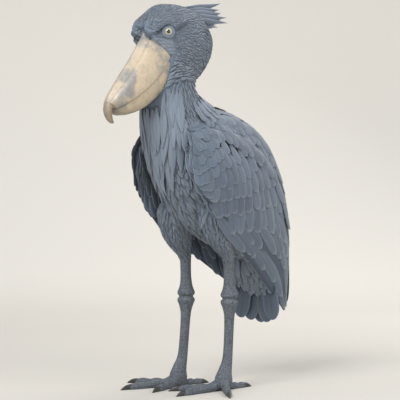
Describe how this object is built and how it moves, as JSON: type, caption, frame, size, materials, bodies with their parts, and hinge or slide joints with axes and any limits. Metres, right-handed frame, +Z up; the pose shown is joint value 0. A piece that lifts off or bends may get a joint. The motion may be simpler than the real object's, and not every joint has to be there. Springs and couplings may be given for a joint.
{
  "type": "standing shoebill model",
  "caption": "Life-size still model of a standing shoebill with folded wings, bowed bill, nape crest and long-toed feet.",
  "frame": {"origin": "centre of the bounding box, on the floor that the feet stand on", "axes": "+Z up, the bird faces -Y, its left side is +X"},
  "size_m": [0.4326, 0.741, 1.1278],
  "materials": {
    "plumage": "soft slate-blue body feathers",
    "flight": "dark slate wing and tail feathers with pale edges",
    "bill": "horn-coloured bill with grey blotches",
    "eye": "glossy pale yellow eye with a black pupil",
    "leg": "dark grey scaly skin",
    "claw": "dark horn"
  },
  "bodies": {
    "root": {"bill_lower": "bill", "bill_upper": "bill", "claw_hind_left": "claw", "claw_hind_right": "claw", "claw_inner_left": "claw", "claw_inner_right": "claw", "claw_middle_left": "claw", "claw_middle_right": "claw", "claw_outer_left": "claw", "claw_outer_right": "claw", "eye_left": "eye", "eye_right": "eye", "head": "plumage", "neck": "plumage", "shank_left": "leg", "shank_right": "leg", "tail": "flight", "tarsus_left": "leg", "tarsus_right": "leg", "thigh_left": "plumage", "thigh_right": "plumage", "toe_hind_left": "leg", "toe_hind_right": "leg", "toe_inner_left": "leg", "toe_inner_right": "leg", "toe_middle_left": "leg", "toe_middle_right": "leg", "toe_outer_left": "leg", "toe_outer_right": "leg", "torso": "plumage", "wing_left": "flight", "wing_right": "flight"}
  },
  "joints": []
}
